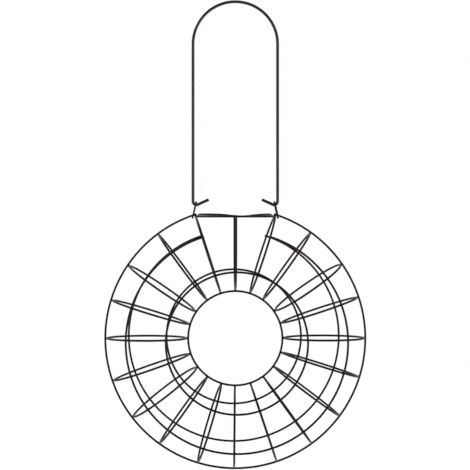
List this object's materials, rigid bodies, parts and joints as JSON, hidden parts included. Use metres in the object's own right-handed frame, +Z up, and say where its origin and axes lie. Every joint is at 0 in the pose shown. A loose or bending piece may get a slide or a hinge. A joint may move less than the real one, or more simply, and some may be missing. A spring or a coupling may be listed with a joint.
{
  "type": "suet ball feeder",
  "caption": "Hanging wire bird feeder: a ring-shaped cage of round hoops that holds suet balls, filled through a round mouth at the top and hung by a tall arched handle.",
  "frame": {"origin": "hang point: the middle of the underside of the wire at the handle's crown", "axes": "+X to the right across the ring, +Y from the front to the back, +Z up"},
  "size_m": [0.2498, 0.0774, 0.447],
  "materials": {
    "basket_wire": "satin dark brown coating over steel wire",
    "handle_wire": "satin greyish brown coating over spring steel wire",
    "link_wire": "satin dark brown coating over thin steel wire"
  },
  "bodies": {
    "handle": {"handle": "handle_wire"},
    "left_link": {"left_link": "link_wire"},
    "right_link": {"right_link": "link_wire"},
    "basket": {"mouth_ring": "basket_wire", "throat_hoop": "basket_wire", "inner_ring": "basket_wire", "outer_ring": "basket_wire", "front_inner_side_ring": "basket_wire", "back_inner_side_ring": "basket_wire", "front_outer_side_ring": "basket_wire", "back_outer_side_ring": "basket_wire", "hoop_01": "basket_wire", "hoop_02": "basket_wire", "hoop_03": "basket_wire", "hoop_04": "basket_wire", "hoop_05": "basket_wire", "hoop_06": "basket_wire", "hoop_07": "basket_wire", "hoop_08": "basket_wire", "hoop_09": "basket_wire", "hoop_10": "basket_wire", "hoop_11": "basket_wire", "hoop_12": "basket_wire", "hoop_13": "basket_wire", "hoop_14": "basket_wire", "hoop_15": "basket_wire", "hoop_16": "basket_wire", "hoop_17": "basket_wire", "hoop_18": "basket_wire", "hoop_19": "basket_wire"}
  },
  "joints": [
    {"name": "left_link_swing", "type": "hinge", "parent": "handle", "child": "left_link", "pos_m": [-0.03782, 0, -0.19212], "axis": [1, 0, 0], "range_deg": [-75, 75]},
    {"name": "right_link_swing", "type": "hinge", "parent": "handle", "child": "right_link", "pos_m": [0.03782, 0, -0.19212], "axis": [1, 0, 0], "range_deg": [-75, 75]},
    {"name": "basket_swing", "type": "hinge", "parent": "left_link", "child": "basket", "pos_m": [-0.04151, 0, -0.20252], "axis": [1, 0, 0], "range_deg": [-35, 35]}
  ],
  "couplings": [
    {"joint": "right_link_swing", "follows": "left_link_swing", "ratio": 1}
  ]
}
